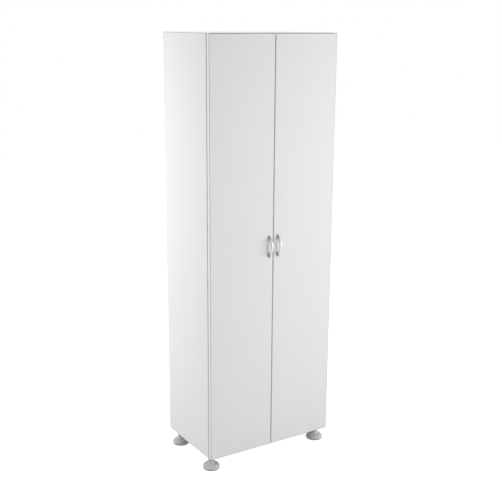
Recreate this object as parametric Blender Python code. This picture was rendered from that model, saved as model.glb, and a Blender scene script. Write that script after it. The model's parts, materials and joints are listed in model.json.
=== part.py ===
"""A tall two-door bathroom cabinet of white melamine-faced board.

The carcass stands on four levelling feet. Each door hangs on three concealed cup hinges:
an arm on the side panel, a curved link, and a cup let into the door's back.
Metres, +Z up, doors towards -Y. The origin is on the floor, under the middle of the whole cabinet.
"""

import math

import bmesh
import bpy
from mathutils import Matrix, Vector

# Carcass boards
body_width = 0.600
body_height = 1.740
board_depth = 0.350
board = 0.016
back_thickness = 0.003
back_margin = 0.001
seat = 0.0003

# Doors
door_thickness = 0.016
door_gap = 0.002
door_reveal = 0.001
meeting_gap = 0.003
door_edge_radius = 0.001

# Shelves
fixed_shelf_rise = 0.862
housing_depth = 0.005
housing_play = 0.0003
fixed_shelf_setback = 0.004
loose_shelf_setback = 0.012
loose_shelf_play = 0.001

# Shelf pins and the rows of holes they plug into
pin_radius = 0.0024
pin_hole_radius = 0.0027
pin_hole_depth = 0.009
pin_tongue_length = 0.009
pin_tongue_width = 0.008
pin_tongue_thickness = 0.002
pin_row_inset = 0.045
pin_pitch = 0.032
pin_holes_each_way = 2

# Cam locks that draw the top and bottom panels to the sides
cam_radius = 0.0075
cam_depth = 0.012
cam_reach = 0.034
cam_row_inset = 0.085
cam_bolt_radius = 0.003
cam_thread_radius = 0.0025
cam_thread_length = 0.011
cam_clearance = 0.0003

# Concealed hinges, measured in from the cabinet's outer side face and back from the carcass front
hinges_from_ends = 0.100
middle_hinge_above_shelf = 0.080
cup_radius = 0.0175
cup_depth = 0.0115
cup_wall = 0.001
cup_edge_distance = 0.005
cup_rim_radius = 0.019
cup_rim_thickness = 0.001
cup_ear_reach = 0.028
cup_ear_root = 0.009
cup_ear_start = 0.0035
cup_ear_end = 0.0155
cup_screw_spacing = 0.045
cup_bore_clearance = 0.0003
cup_pivot_inset = 0.010
cup_pivot_back = -0.005
arm_pivot_from_side = 0.013
arm_pivot_back = -0.0015
pivot_radius = 0.00125
pivot_clearance = 0.0003
knuckle_wall = 0.0009
link_half_width = 0.005
link_thickness = 0.0018
link_sag = 0.0055
arm_ear_thickness = 0.0015
arm_ear_wall = 0.0015
arm_length = 0.062
arm_bar_thickness = 0.009
plate_thickness = 0.002
plate_front = 0.029
plate_half_height = 0.008
plate_wing_depth = 0.012
plate_wing_reach = 0.023
plate_screw_setback = 0.037
plate_screw_spacing = 0.032
screw_head_radius = 0.0035
screw_head_height = 0.0015

# Bow handles
handle_length = 0.098
handle_hole_spacing = 0.076
handle_projection = 0.0275
handle_inner_length = 0.058
handle_inner_height = 0.0212
handle_width_middle = 0.0115
handle_width_end = 0.0085
handle_edge_inset = 0.0195
handle_rise = 0.889
handle_screw_radius = 0.002
handle_screw_grip = 0.007
handle_head_radius = 0.004
handle_head_height = 0.0021
handle_hole_clearance = 0.0003

# Levelling feet
foot_height = 0.060
foot_side_inset = 0.0285
foot_front_inset = 0.0308
foot_back_inset = 0.0458
foot_radius = 0.0365
foot_rim_height = 0.008
foot_dome_reach = 0.018
foot_dome_height = 0.014
foot_neck_radius = 0.0135
foot_bell_height = 0.036
stud_radius = 0.004
stud_length = 0.018
stud_clearance = 0.0003
socket_flange_radius = 0.025
socket_flange_thickness = 0.003
socket_boss_radius = 0.012

# Soft buffers between the doors and the top panel
buffer_radius = 0.004
buffer_edge_inset = 0.022

# Places that follow from the sizes
overall_depth = handle_projection + door_thickness + door_gap + board_depth + seat + back_thickness
door_front_y = handle_projection - overall_depth / 2
door_back_y = door_front_y + door_thickness
front_y = door_back_y + door_gap
back_y = front_y + board_depth
half_width = body_width / 2
inner_half_width = half_width - board
bottom_z = foot_height
top_z = foot_height + body_height
door_width = (body_width - meeting_gap) / 2
door_bottom_z = bottom_z + door_reveal
door_top_z = top_z - door_reveal
fixed_shelf_z = bottom_z + fixed_shelf_rise
lower_shelf_z = (bottom_z + board + fixed_shelf_z) / 2 - board / 2
upper_shelf_z = (fixed_shelf_z + top_z) / 2 - board / 2
arm_pivot_inset = board + arm_pivot_from_side
cup_inset = cup_edge_distance + cup_radius
hinge_heights = {
    "bottom": door_bottom_z + hinges_from_ends,
    "middle": fixed_shelf_z + board + middle_hinge_above_shelf,
    "top": door_top_z - hinges_from_ends,
}
SIDES = {"left": -1, "right": 1}


def material(name, colour, roughness, metallic=0.0):
    made = bpy.data.materials.new(name)
    made.use_nodes = True
    shader = made.node_tree.nodes["Principled BSDF"]
    shader.inputs["Base Color"].default_value = (*colour, 1.0)
    shader.inputs["Roughness"].default_value = roughness
    shader.inputs["Metallic"].default_value = metallic
    return made


def across(side, inset):
    """X of a point that lies this far in from the cabinet's outer face on one side."""
    return side * (half_width - inset)


def add_box(bm, corner, opposite):
    low = Vector(map(min, corner, opposite))
    high = Vector(map(max, corner, opposite))
    place = Matrix.Translation((low + high) / 2) @ Matrix.Diagonal((*(high - low), 1.0))
    bmesh.ops.create_cube(bm, size=1.0, matrix=place)


def add_cylinder(bm, start, end, radius, sides):
    start = Vector(start)
    run = Vector(end) - start
    turn = run.to_track_quat("Z", "Y").to_matrix().to_4x4()
    place = Matrix.Translation(start + run / 2) @ turn
    bmesh.ops.create_cone(
        bm, cap_ends=True, segments=sides, radius1=radius, radius2=radius, depth=run.length, matrix=place
    )


def add_prism(bm, outline, start, run):
    """Extrudes a flat outline, given as 3-D points at the start plane, along the run vector."""
    ring = [bm.verts.new(Vector(point) + Vector(start)) for point in outline]
    face = bm.faces.new(ring)
    grown = bmesh.ops.extrude_face_region(bm, geom=[face])
    moved = [item for item in grown["geom"] if isinstance(item, bmesh.types.BMVert)]
    bmesh.ops.translate(bm, vec=Vector(run), verts=moved)


def add_turned(bm, profile, sides, turn=None):
    """Turns a profile of (radius, height) points about Z. A radius of 0 closes the end on the axis."""
    rings = []
    for radius, height in profile:
        if radius == 0:
            rings.append([bm.verts.new((0, 0, height))])
            continue
        steps = [2 * math.pi * step / sides for step in range(sides)]
        rings.append([bm.verts.new((radius * math.cos(a), radius * math.sin(a), height)) for a in steps])
    for lower, upper in zip(rings, rings[1:]):
        for step in range(sides):
            following = (step + 1) % sides
            corners = []
            for corner in (
                lower[step % len(lower)],
                lower[following % len(lower)],
                upper[following % len(upper)],
                upper[step % len(upper)],
            ):
                if corner not in corners:
                    corners.append(corner)
            bm.faces.new(corners)
    if turn:
        bmesh.ops.transform(bm, matrix=turn, verts=bm.verts)


def solid(name, bm, finish, place=(0, 0, 0), smooth=True):
    bmesh.ops.recalc_face_normals(bm, faces=bm.faces)
    mesh = bpy.data.meshes.new(name)
    bm.to_mesh(mesh)
    bm.free()
    if finish:
        mesh.materials.append(finish)
    if smooth:
        mesh.shade_smooth()
        mesh.set_sharp_from_angle(angle=math.radians(40))
    made = bpy.data.objects.new(name, mesh)
    made.location = place
    bpy.context.scene.collection.objects.link(made)
    return made


def change_by(target, bm, label, operation):
    """Cuts the tool's shape out of the target, or joins it on. The tool travels with the target."""
    tool = solid(f"{label}_of_{target.name}", bm, None, smooth=False)
    tool.parent = target
    tool.hide_render = True
    tool.display_type = "WIRE"
    step = target.modifiers.new(label, "BOOLEAN")
    step.operation = operation
    step.solver = "EXACT"
    step.object = tool


def axis_empty(name, place, parent=None):
    marker = bpy.data.objects.new(name, None)
    marker.empty_display_size = 0.05
    marker.location = Vector(place) - (parent.matrix_world.translation if parent else Vector())
    marker.parent = parent
    bpy.context.scene.collection.objects.link(marker)
    bpy.context.view_layer.update()
    return marker


def carry(piece, marker):
    """Parents a piece to its joint's empty and leaves it where it stands."""
    piece.parent = marker
    piece.matrix_parent_inverse = Matrix.Translation(-marker.matrix_world.translation)


def board_piece(name, corner, opposite, finish):
    bm = bmesh.new()
    add_box(bm, corner, opposite)
    return solid(name, bm, finish, smooth=False)


def pin_places(shelf_z):
    """Heights of one shelf's holes, and the height of the one that its pins sit in."""
    used = shelf_z - seat - pin_tongue_thickness / 2
    steps = range(-pin_holes_each_way, pin_holes_each_way + 1)
    return used, [used + step * pin_pitch for step in steps]


def pin_rows():
    return {"front": front_y + pin_row_inset, "back": back_y - pin_row_inset}


def cam_rows():
    return {"front": front_y + cam_row_inset, "back": back_y - cam_row_inset}


def panel_middles():
    return {"bottom": bottom_z + board / 2, "top": top_z - board / 2}


def side_panel(label, side, finish):
    panel = board_piece(
        f"side_panel_{label}", (across(side, 0), front_y, bottom_z), (across(side, board), back_y, top_z), finish
    )
    inner_x = across(side, board)
    bm = bmesh.new()
    for shelf_z in (lower_shelf_z, upper_shelf_z):
        for height in pin_places(shelf_z)[1]:
            for row_y in pin_rows().values():
                start = (inner_x - side * board, row_y, height)
                end = (inner_x + side * pin_hole_depth, row_y, height)
                add_cylinder(bm, start, end, pin_hole_radius, 8)
    for height in panel_middles().values():
        for row_y in cam_rows().values():
            start = (inner_x - side * board, row_y, height)
            end = (inner_x + side * (cam_thread_length + cam_clearance), row_y, height)
            add_cylinder(bm, start, end, cam_thread_radius + cam_clearance, 8)
    change_by(panel, bm, "holes", "DIFFERENCE")
    bm = bmesh.new()
    add_box(
        bm,
        (inner_x - side * board, front_y + fixed_shelf_setback - housing_play, fixed_shelf_z - housing_play),
        (inner_x + side * housing_depth, back_y + board, fixed_shelf_z + board + housing_play),
    )
    change_by(panel, bm, "housing", "DIFFERENCE")


def end_panel(label, finish):
    """The top or the bottom panel, between the sides, bored from below for its cams."""
    low_z = bottom_z if label == "bottom" else top_z - board
    reach = inner_half_width - seat
    panel = board_piece(f"{label}_panel", (-reach, front_y, low_z), (reach, back_y, low_z + board), finish)
    middle_z = low_z + board / 2
    bm = bmesh.new()
    for side in SIDES.values():
        cam_x = side * (inner_half_width - cam_reach)
        for row_y in cam_rows().values():
            start = (cam_x, row_y, low_z - board)
            end = (cam_x, row_y, low_z + cam_depth + 2 * cam_clearance)
            add_cylinder(bm, start, end, (cam_radius + cam_clearance) * 1.02, 12)
    change_by(panel, bm, "cam_bores", "DIFFERENCE")
    bm = bmesh.new()
    for side in SIDES.values():
        cam_x = side * (inner_half_width - cam_reach)
        for row_y in cam_rows().values():
            start = (cam_x, row_y, middle_z)
            end = (side * half_width, row_y, middle_z)
            add_cylinder(bm, start, end, cam_bolt_radius + cam_clearance, 8)
    change_by(panel, bm, "bolt_bores", "DIFFERENCE")


def cam_locks(finish):
    """A disc in the panel and the bolt that it draws in, which screws into the side panel."""
    for level, middle_z in panel_middles().items():
        for label, side in SIDES.items():
            for row, row_y in cam_rows().items():
                disc_low = -board / 2 + cam_clearance
                bm = bmesh.new()
                add_cylinder(bm, (0, 0, disc_low), (0, 0, disc_low + cam_depth), cam_radius, 12)
                place = (side * (inner_half_width - cam_reach), row_y, middle_z)
                lock = solid(f"cam_lock_{level}_{label}_{row}", bm, finish, place)
                bm = bmesh.new()
                add_cylinder(bm, (0, 0, 0), (side * (cam_reach - seat), 0, 0), cam_bolt_radius, 8)
                change_by(lock, bm, "bolt", "UNION")
                bm = bmesh.new()
                thread_start = (side * cam_reach / 2, 0, 0)
                thread_end = (side * (cam_reach + cam_thread_length), 0, 0)
                add_cylinder(bm, thread_start, thread_end, cam_thread_radius, 8)
                change_by(lock, bm, "thread", "UNION")


def fixed_shelf(finish):
    reach = inner_half_width + housing_depth - seat
    board_piece(
        "fixed_shelf",
        (-reach, front_y + fixed_shelf_setback, fixed_shelf_z),
        (reach, back_y, fixed_shelf_z + board),
        finish,
    )


def loose_shelf(label, shelf_z, board_finish, pin_finish):
    reach = inner_half_width - loose_shelf_play
    board_piece(
        f"{label}_shelf",
        (-reach, front_y + loose_shelf_setback, shelf_z),
        (reach, back_y - seat, shelf_z + board),
        board_finish,
    )
    pin_z = pin_places(shelf_z)[0]
    for side_label, side in SIDES.items():
        for row, row_y in pin_rows().items():
            bm = bmesh.new()
            add_cylinder(bm, (side * (pin_hole_depth - seat), 0, 0), (-side * seat, 0, 0), pin_radius, 8)
            name = f"shelf_pin_{label}_{side_label}_{row}"
            pin = solid(name, bm, pin_finish, (across(side, board), row_y, pin_z))
            bm = bmesh.new()
            add_box(
                bm,
                (-side * seat / 2, -pin_tongue_width / 2, -pin_tongue_thickness / 2),
                (-side * pin_tongue_length, pin_tongue_width / 2, pin_tongue_thickness / 2),
            )
            change_by(pin, bm, "tongue", "UNION")


def back_panel(finish):
    reach = half_width - back_margin
    board_piece(
        "back_panel",
        (-reach, back_y + seat, bottom_z + back_margin),
        (reach, back_y + seat + back_thickness, top_z - back_margin),
        finish,
    )


def handle_heights():
    middle = bottom_z + handle_rise
    return {"lower": middle - handle_hole_spacing / 2, "upper": middle + handle_hole_spacing / 2}


def handle_x(side):
    return side * (meeting_gap / 2 + handle_edge_inset)


def door(label, side, marker, finish):
    leaf = board_piece(
        f"door_{label}",
        (across(side, 0), door_front_y, door_bottom_z),
        (across(side, door_width), door_back_y, door_top_z),
        finish,
    )
    carry(leaf, marker)
    rounding = leaf.modifiers.new("edges", "BEVEL")
    rounding.width = door_edge_radius
    rounding.segments = 2
    bm = bmesh.new()
    for height in hinge_heights.values():
        cup_x = across(side, cup_inset)
        floor_y = door_back_y - cup_depth - 2 * cup_bore_clearance
        add_cylinder(bm, (cup_x, back_y, height), (cup_x, floor_y, height), cup_radius + cup_bore_clearance, 20)
    change_by(leaf, bm, "cup_bores", "DIFFERENCE")
    bm = bmesh.new()
    for height in handle_heights().values():
        start = (handle_x(side), door_front_y - board, height)
        end = (handle_x(side), back_y, height)
        add_cylinder(bm, start, end, handle_screw_radius + handle_hole_clearance, 8)
    change_by(leaf, bm, "handle_holes", "DIFFERENCE")


def arc_rise(half_span, height, share):
    """Point at a share, -1 to 1, of the arc over a span: its place along the span and its rise."""
    radius = (half_span**2 + height**2) / (2 * height)
    angle = share * math.asin(half_span / radius)
    return radius * math.sin(angle), radius * math.cos(angle) - radius + height


def add_bow(bm, stations, corners):
    """The bow: rounded sections strung between an inner and an outer arc, both ending on the door."""
    rings = []
    for station in range(stations + 1):
        share = 2 * station / stations - 1
        outer_z, outer_rise = arc_rise(handle_length / 2, handle_projection - seat, share)
        inner_z, inner_rise = arc_rise(handle_inner_length / 2, handle_inner_height, share)
        bulge = handle_width_middle - handle_width_end
        half = (handle_width_end + bulge * math.cos(share * math.pi / 2)) / 2
        ring = []
        for corner in range(corners):
            angle = 2 * math.pi * (corner + 0.5) / corners
            flat_x = math.copysign(abs(math.cos(angle)) ** 0.7, math.cos(angle))
            flat_t = math.copysign(abs(math.sin(angle)) ** 0.7, math.sin(angle))
            blend = (1 + flat_t) / 2
            rise = inner_rise + (outer_rise - inner_rise) * blend
            height = inner_z + (outer_z - inner_z) * blend
            ring.append(bm.verts.new((half * flat_x, -rise, height)))
        rings.append(ring)
    for ring, following in zip(rings, rings[1:]):
        for corner in range(corners):
            beside = (corner + 1) % corners
            bm.faces.new((ring[corner], ring[beside], following[beside], following[corner]))
    bm.faces.new(rings[0])
    bm.faces.new(rings[-1])


def handle(label, side, marker, bow_finish, screw_finish):
    bm = bmesh.new()
    add_bow(bm, 18, 10)
    middle = (handle_x(side), door_front_y - seat, bottom_z + handle_rise)
    bow = solid(f"handle_{label}", bm, bow_finish, middle)
    carry(bow, marker)
    bm = bmesh.new()
    for end in (-1, 1):
        height = end * handle_hole_spacing / 2
        radius = handle_screw_radius + handle_hole_clearance
        depth = handle_screw_grip + 2 * handle_hole_clearance
        add_cylinder(bm, (0, board, height), (0, -depth, height), radius, 8)
    change_by(bow, bm, "screw_bores", "DIFFERENCE")
    for level, height in handle_heights().items():
        reach = door_thickness + 2 * seat + handle_screw_grip
        profile = [
            (0, handle_head_height),
            (handle_head_radius * 0.75, handle_head_height),
            (handle_head_radius, 0.4 * handle_head_height),
            (handle_head_radius, 0),
            (handle_screw_radius, 0),
            (handle_screw_radius, -reach),
            (0, -reach),
        ]
        bm = bmesh.new()
        add_turned(bm, profile, 12, Matrix.Rotation(-math.pi / 2, 4, "X"))
        place = (handle_x(side), door_back_y + seat, height)
        carry(solid(f"handle_screw_{label}_{level}", bm, screw_finish, place), marker)


def hinge_cup(label, side, level, marker, finish):
    """The cup with its rim and screw ears. The origin is on the cup's axis at the door's back face."""
    low = seat - cup_depth
    rim = seat + cup_rim_thickness
    profile = [
        (0, low),
        (cup_radius, low),
        (cup_radius, seat),
        (cup_rim_radius, seat),
        (cup_rim_radius, rim),
        (cup_radius - cup_wall, rim),
        (cup_radius - cup_wall, low + cup_wall),
        (0, low + cup_wall),
    ]
    lay_back = Matrix.Rotation(-math.pi / 2, 4, "X")
    bm = bmesh.new()
    add_turned(bm, profile, 20, lay_back)
    place = (across(side, cup_inset), door_back_y, hinge_heights[level])
    cup = solid(f"hinge_cup_{label}_{level}", bm, finish, place)
    carry(cup, marker)
    for end, word in ((-1, "lower"), (1, "upper")):
        outline = []
        for step in range(5):
            inward = cup_ear_start + (cup_ear_end - cup_ear_start) * step / 4
            height = math.sqrt((cup_radius - cup_wall / 4) ** 2 - inward**2)
            outline.append((-side * inward, seat, end * max(height, cup_ear_root)))
        outline.append((-side * cup_ear_end, seat, end * cup_ear_reach))
        outline.append((-side * cup_ear_start, seat, end * cup_ear_reach))
        bm = bmesh.new()
        add_prism(bm, outline, (0, 0, 0), (0, cup_rim_thickness, 0))
        change_by(cup, bm, f"{word}_ear", "UNION")
        bm = bmesh.new()
        screw_x = -side * (cup_ear_start + cup_ear_end) / 2
        screw_z = end * cup_screw_spacing / 2
        start = (screw_x, (seat + rim) / 2, screw_z)
        add_cylinder(bm, start, (screw_x, rim + screw_head_height / 2, screw_z), screw_head_radius, 10)
        change_by(cup, bm, f"{word}_screw", "UNION")
    bm = bmesh.new()
    pin_x = side * (cup_inset - cup_pivot_inset)
    pin_y = cup_pivot_back + door_gap
    chord = math.sqrt((cup_radius - cup_wall / 4) ** 2 - (abs(pin_x) + pivot_radius) ** 2)
    add_cylinder(bm, (pin_x, pin_y, -chord), (pin_x, pin_y, chord), pivot_radius, 10)
    change_by(cup, bm, "pivot_pin", "UNION")


def knuckle_radius():
    return pivot_radius + pivot_clearance + knuckle_wall


def hinge_link(label, side, level, marker, finish):
    """A strip curved from the arm's pivot into the cup, with an eye at each end. Its origin is the arm's pivot."""
    span_x = side * (arm_pivot_inset - cup_pivot_inset)
    span_y = cup_pivot_back - arm_pivot_back
    span = Vector((span_x, span_y, 0))
    deeper = Vector((-span_y, span_x, 0)).normalized() * (-side)
    half_span = span.length / 2
    outline = []
    for offset, shares in ((link_thickness / 2, range(-8, 9)), (-link_thickness / 2, range(8, -9, -1))):
        for share in shares:
            along, rise = arc_rise(half_span, link_sag, share / 8)
            tilt = math.asin(max(-1.0, min(1.0, along * 2 * link_sag / (half_span**2 + link_sag**2))))
            along += offset * math.sin(tilt)
            rise += offset * math.cos(tilt)
            outline.append(span / 2 + span.normalized() * along + deeper * rise)
    bm = bmesh.new()
    add_prism(bm, outline, (0, 0, -link_half_width), (0, 0, 2 * link_half_width))
    place = (across(side, arm_pivot_inset), front_y + arm_pivot_back, hinge_heights[level])
    link = solid(f"hinge_link_{label}_{level}", bm, finish, place)
    carry(link, marker)
    up = Vector((0, 0, link_half_width))
    for word, centre in (("arm", Vector()), ("cup", span)):
        bm = bmesh.new()
        add_cylinder(bm, centre - up, centre + up, knuckle_radius(), 12)
        change_by(link, bm, f"{word}_eye", "UNION")
    for word, centre in (("arm", Vector()), ("cup", span)):
        bm = bmesh.new()
        add_cylinder(bm, centre - 2 * up, centre + 2 * up, pivot_radius + pivot_clearance, 10)
        change_by(link, bm, f"{word}_bore", "DIFFERENCE")


def hinge_arm(label, side, level, finish):
    """Mounting plate, bar and forked tip. Its origin is on the side panel's inner face at the carcass front."""
    ear = pivot_radius + arm_ear_wall
    pivot_in = arm_pivot_from_side
    bar_in = seat + plate_thickness / 2
    bar_out = bar_in + arm_bar_thickness
    half = link_half_width + pivot_clearance + arm_ear_thickness
    tip = []
    for step in range(9):
        angle = math.pi + math.pi * step / 8
        tip.append((pivot_in + ear * math.cos(angle), arm_pivot_back + ear * math.sin(angle)))
    shank = [
        (pivot_in + ear, 0.006),
        (bar_out, 0.022),
        (bar_out, arm_length),
        (bar_in, arm_length),
        (bar_in, 0.030),
        (pivot_in - ear, 0.005),
    ]
    outline = [(-side * inward, back, -half) for inward, back in tip + shank]
    bm = bmesh.new()
    add_prism(bm, outline, (0, 0, 0), (0, 0, 2 * half))
    place = (across(side, board), front_y, hinge_heights[level])
    arm = solid(f"hinge_arm_{label}_{level}", bm, finish, place)
    slot_top = arm_pivot_back + knuckle_radius() + pivot_clearance
    slot_half = link_half_width + pivot_clearance
    bm = bmesh.new()
    add_box(
        bm,
        (-side * (pivot_in - 2 * ear), arm_pivot_back - 2 * ear, -slot_half),
        (-side * (pivot_in + 2 * ear), slot_top, slot_half),
    )
    change_by(arm, bm, "fork", "DIFFERENCE")
    bm = bmesh.new()
    pin_half = slot_half + arm_ear_thickness / 2
    pin = Vector((-side * pivot_in, arm_pivot_back, 0))
    add_cylinder(bm, pin - Vector((0, 0, pin_half)), pin + Vector((0, 0, pin_half)), pivot_radius, 10)
    change_by(arm, bm, "pivot_pin", "UNION")
    wing_low = plate_screw_setback - plate_wing_depth / 2
    wing_high = plate_screw_setback + plate_wing_depth / 2
    plate_outline = [
        (plate_front, -plate_half_height),
        (wing_low, -plate_half_height),
        (wing_low, -plate_wing_reach),
        (wing_high, -plate_wing_reach),
        (wing_high, -plate_half_height),
        (arm_length + 0.003, -plate_half_height),
        (arm_length + 0.003, plate_half_height),
        (wing_high, plate_half_height),
        (wing_high, plate_wing_reach),
        (wing_low, plate_wing_reach),
        (wing_low, plate_half_height),
        (plate_front, plate_half_height),
    ]
    bm = bmesh.new()
    flat = [(-side * seat, back, up) for back, up in plate_outline]
    add_prism(bm, flat, (0, 0, 0), (-side * plate_thickness, 0, 0))
    change_by(arm, bm, "plate", "UNION")
    for end, word in ((-1, "lower"), (1, "upper")):
        bm = bmesh.new()
        screw_z = end * plate_screw_spacing / 2
        start = (-side * plate_thickness / 2, plate_screw_setback, screw_z)
        end_x = -side * (seat + plate_thickness + screw_head_height)
        add_cylinder(bm, start, (end_x, plate_screw_setback, screw_z), screw_head_radius, 10)
        change_by(arm, bm, f"{word}_screw", "UNION")


def foot_places():
    rows = {"front": front_y + foot_front_inset, "back": back_y - foot_back_inset}
    return {
        f"{row}_{label}": (across(side, foot_side_inset), row_y)
        for row, row_y in rows.items()
        for label, side in SIDES.items()
    }


def bell_profile():
    """A rim, a round shoulder, a hollow fillet and a straight neck, from the floor up."""
    chamfer = foot_rim_height / 6
    points = [(0, 0), (foot_radius - chamfer, 0), (foot_radius, chamfer), (foot_radius, foot_rim_height)]
    shoulder_radius = foot_radius - foot_dome_reach
    for step in range(1, 5):
        angle = math.pi / 2 * step / 4
        radius = shoulder_radius + foot_dome_reach * math.cos(angle)
        points.append((radius, foot_rim_height + foot_dome_height * math.sin(angle)))
    fillet = shoulder_radius - foot_neck_radius
    for step in range(1, 4):
        angle = math.pi / 2 * step / 3
        height = foot_rim_height + foot_dome_height + fillet * (1 - math.cos(angle))
        points.append((shoulder_radius - fillet * math.sin(angle), height))
    points += [
        (foot_neck_radius, foot_bell_height),
        (stud_radius, foot_bell_height),
        (stud_radius, foot_bell_height + stud_length),
        (0, foot_bell_height + stud_length),
    ]
    return points


def socket_profile():
    """A flange against the board, and a boss with a blind thread for the foot's stud."""
    low = foot_bell_height + seat
    high = foot_height - seat
    bore = stud_radius + stud_clearance
    bore_top = foot_bell_height + stud_length + stud_clearance
    return [
        (0, bore_top),
        (bore, bore_top),
        (bore, low),
        (socket_boss_radius, low),
        (socket_boss_radius, high - socket_flange_thickness),
        (socket_flange_radius, high - socket_flange_thickness),
        (socket_flange_radius, high),
        (0, high),
    ]


def levelling_feet(foot_finish, socket_finish):
    for label, (x, y) in foot_places().items():
        bm = bmesh.new()
        add_turned(bm, bell_profile(), 24)
        solid(f"levelling_foot_{label}", bm, foot_finish, (x, y, 0))
        bm = bmesh.new()
        add_turned(bm, socket_profile(), 16)
        solid(f"foot_socket_{label}", bm, socket_finish, (x, y, 0))


def door_buffer(label, side, marker, finish):
    place = (side * (meeting_gap / 2 + buffer_edge_inset), door_back_y, top_z - board / 2)
    bm = bmesh.new()
    add_cylinder(bm, (0, seat, 0), (0, door_gap - seat, 0), buffer_radius, 12)
    carry(solid(f"door_buffer_{label}", bm, finish, place), marker)


for leftover in list(bpy.data.objects):
    bpy.data.objects.remove(leftover)

white_board = material("white_board", (0.86, 0.865, 0.87), 0.38)
back_board = material("back_board", (0.80, 0.80, 0.79), 0.7)
satin_nickel = material("satin_nickel", (0.62, 0.62, 0.61), 0.28, 1.0)
hinge_steel = material("hinge_steel", (0.56, 0.56, 0.55), 0.32, 1.0)
zinc = material("zinc", (0.50, 0.51, 0.52), 0.45, 1.0)
foot_grey = material("foot_grey", (0.42, 0.43, 0.44), 0.42)
socket_white = material("socket_white", (0.75, 0.75, 0.75), 0.5)
clear_buffer = material("clear_buffer", (0.78, 0.79, 0.80), 0.3)

end_panel("bottom", white_board)
end_panel("top", white_board)
cam_locks(zinc)
fixed_shelf(white_board)
loose_shelf("lower", lower_shelf_z, white_board, zinc)
loose_shelf("upper", upper_shelf_z, white_board, zinc)
back_panel(back_board)
levelling_feet(foot_grey, socket_white)

for label, side in SIDES.items():
    side_panel(label, side, white_board)
    middle_z = hinge_heights["middle"]
    arm_pivot = (across(side, arm_pivot_inset), front_y + arm_pivot_back, middle_z)
    cup_pivot = (across(side, cup_pivot_inset), front_y + cup_pivot_back, middle_z)
    link_axis = axis_empty(f"{label}_link_axis", arm_pivot)
    door_axis = axis_empty(f"{label}_door_axis", cup_pivot, link_axis)
    door(label, side, door_axis, white_board)
    handle(label, side, door_axis, satin_nickel, zinc)
    door_buffer(label, side, door_axis, clear_buffer)
    for level in hinge_heights:
        hinge_arm(label, side, level, hinge_steel)
        hinge_link(label, side, level, link_axis, hinge_steel)
        hinge_cup(label, side, level, door_axis, hinge_steel)
    print(label, "link pivot", [round(value, 5) for value in arm_pivot])
    print(label, "door pivot", [round(value, 5) for value in cup_pivot])

print("overall depth", round(overall_depth, 5), "door front", round(door_front_y, 5), "carcass front", round(front_y, 5))
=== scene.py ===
# %% [markdown]
# # A tall two-door bathroom cabinet
# The solid model arrives as a fixed frame: boards, hinges, handles and feet, each in its true place and size.
# This file dresses it: every solid is replaced by a finer mesh of the same size, and each surface gets a
# procedural material. Lengths are in metres, +Z is up, and the doors face -Y.

# %% Load the frame
import json
import math
from itertools import product

import bmesh
import bpy
from mathutils import Matrix, Vector


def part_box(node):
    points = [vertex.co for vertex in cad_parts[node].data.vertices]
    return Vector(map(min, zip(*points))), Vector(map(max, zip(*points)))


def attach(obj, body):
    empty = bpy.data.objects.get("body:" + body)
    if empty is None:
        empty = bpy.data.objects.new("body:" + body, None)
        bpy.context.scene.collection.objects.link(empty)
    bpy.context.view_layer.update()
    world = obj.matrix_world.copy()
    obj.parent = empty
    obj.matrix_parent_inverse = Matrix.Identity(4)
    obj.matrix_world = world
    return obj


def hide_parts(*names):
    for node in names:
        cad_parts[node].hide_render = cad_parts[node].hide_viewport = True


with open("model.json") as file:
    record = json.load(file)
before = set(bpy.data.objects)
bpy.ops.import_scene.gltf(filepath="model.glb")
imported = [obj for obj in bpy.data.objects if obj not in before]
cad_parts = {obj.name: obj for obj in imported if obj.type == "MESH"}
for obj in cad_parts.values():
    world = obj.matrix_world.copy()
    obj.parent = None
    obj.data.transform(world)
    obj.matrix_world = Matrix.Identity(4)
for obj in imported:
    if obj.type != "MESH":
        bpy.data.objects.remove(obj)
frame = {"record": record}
scene = bpy.context.scene
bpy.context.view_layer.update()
at = Matrix.Translation
SIDES = {"left": -1, "right": 1}
ROWS = ("front", "back")

# %% [markdown]
# ## The camera
# The photograph looks down a little on the cabinet's front left corner. Lens and place come from the body's
# edges in the picture: their lengths and the way they converge fix one camera. Its matrix is built from three
# directions, which avoids any guess about the order of Euler angles.

# %% Camera
photo_height_px = 504
focal_px = 887.64
sensor_mm = 36.0
camera_place = Vector((-1.9806, -3.1074, 1.8411))
yaw, pitch, roll = math.radians(32.531), math.radians(14.549), math.radians(0.3577)

ahead = Vector((math.sin(yaw) * math.cos(pitch), math.cos(yaw) * math.cos(pitch), -math.sin(pitch)))
level_right = Vector((math.cos(yaw), -math.sin(yaw), 0.0))
level_up = level_right.cross(ahead)
right = level_right * math.cos(roll) + level_up * math.sin(roll)
up = level_up * math.cos(roll) - level_right * math.sin(roll)

lens = bpy.data.cameras.new("camera")
lens.sensor_width = sensor_mm
lens.lens = sensor_mm * focal_px / photo_height_px
camera = bpy.data.objects.new("camera", lens)
camera.matrix_world = at(camera_place) @ Matrix((right, up, -ahead)).transposed().to_4x4()
scene.collection.objects.link(camera)
scene.camera = camera
print("lens", round(lens.lens, 2), "mm")

# %% [markdown]
# ## Node helpers
# World, floor and finishes are all node trees. `feed` sets a socket or links it, and the other two helpers add
# a node, feed it and hand back its output.

# %% Node helpers
def feed(tree, socket, source):
    """Sets the socket to a number, or links it to another node's socket."""
    if isinstance(source, (int, float)):
        socket.default_value = source
    else:
        tree.links.new(source, socket)


def combine(tree, operation, first, second):
    node = tree.nodes.new("ShaderNodeMath")
    node.operation = operation
    feed(tree, node.inputs[0], first)
    feed(tree, node.inputs[1], second)
    return node.outputs[0]


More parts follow.
